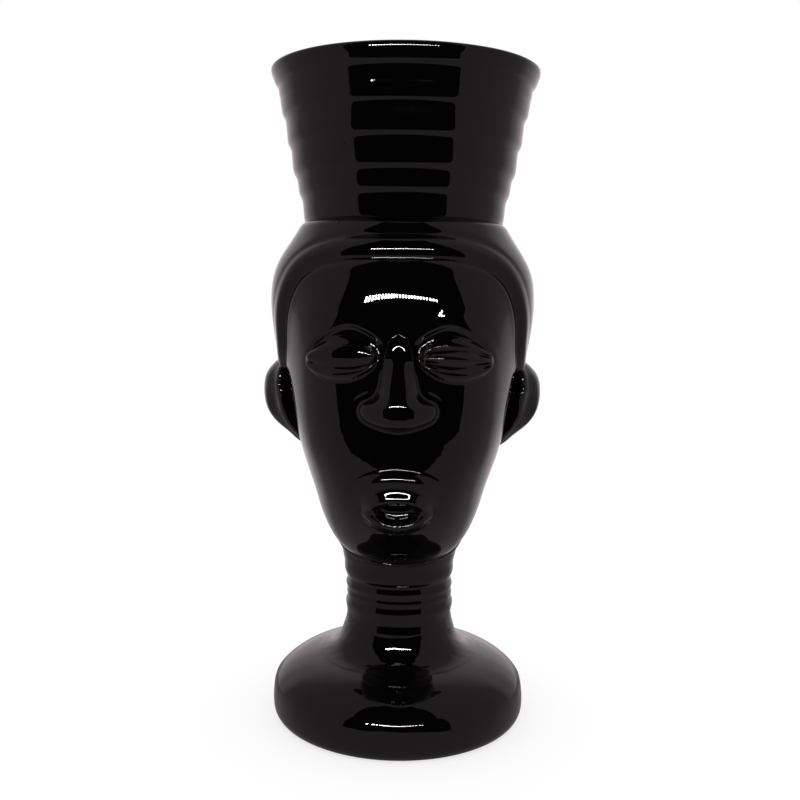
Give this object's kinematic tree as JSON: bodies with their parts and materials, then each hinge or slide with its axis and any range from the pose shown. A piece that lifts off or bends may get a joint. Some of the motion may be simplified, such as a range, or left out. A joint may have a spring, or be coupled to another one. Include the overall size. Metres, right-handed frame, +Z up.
{
  "type": "tiki mug",
  "caption": "Tall black glazed drinking mug in the shape of a carved head with a ribbed, flared hat, on a ringed neck and a round foot.",
  "frame": {"origin": "centre of the flat standing ring under the foot, at the height of the table", "axes": "+Z up through the cup, face looking towards -Y, +X towards the carved head's own left ear"},
  "size_m": [0.087, 0.083, 0.2],
  "materials": {
    "black_glaze": "gloss",
    "liner_glaze": "gloss",
    "bare_clay": "matt"
  },
  "bodies": {
    "root": {"foot_ring": "bare_clay", "foot": "black_glaze", "foot_neck_seam": "black_glaze", "neck": "black_glaze", "neck_head_seam": "black_glaze", "head": "black_glaze", "hair_cap": "black_glaze", "head_hat_seam": "black_glaze", "hat": "black_glaze", "rim_lip": "black_glaze", "liner_glaze": "liner_glaze", "left_ear": "black_glaze", "right_ear": "black_glaze", "left_eyelids": "black_glaze", "right_eyelids": "black_glaze", "left_eye": "black_glaze", "right_eye": "black_glaze", "nose": "black_glaze", "mouth": "black_glaze"}
  },
  "joints": []
}
